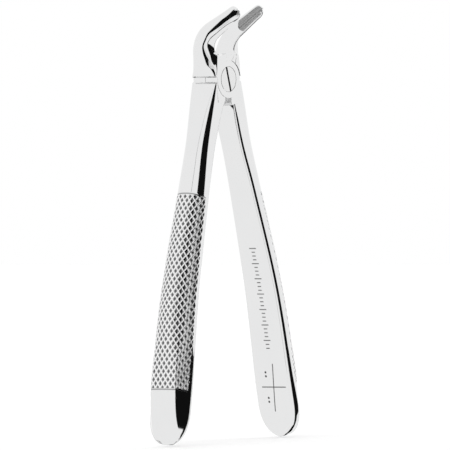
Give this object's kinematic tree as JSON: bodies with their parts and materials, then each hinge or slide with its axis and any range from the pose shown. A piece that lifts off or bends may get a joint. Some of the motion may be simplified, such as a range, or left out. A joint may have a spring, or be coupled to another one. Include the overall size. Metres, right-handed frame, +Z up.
{
  "type": "dental extraction forceps",
  "caption": "Hand forceps with two thin beaks bent forward and two long knurled handles, joined scissor fashion by a lap joint and a slotted screw.",
  "frame": {"origin": "on the joint's axis, in the flat back face of the joint", "axes": "+Z up through the gap between the beaks, +X in the direction that the halves open, +Y along the joint's axis towards the back; the beaks bend towards -Y"},
  "size_m": [0.0836, 0.0255, 0.1641],
  "materials": {
    "polished_steel": "mirror-polished stainless steel, with knurled outer handle faces and matt serrated beak tips",
    "screw_steel": "polished stainless steel with faint turning marks"
  },
  "bodies": {
    "rear_body": {"rear_half": "polished_steel", "joint_screw": "screw_steel"},
    "front_body": {"front_half": "polished_steel"}
  },
  "joints": [
    {"name": "pivot", "type": "hinge", "parent": "rear_body", "child": "front_body", "pos_m": [0, 0, 0], "axis": [0, 1, 0], "range_deg": [-12, 28]}
  ]
}
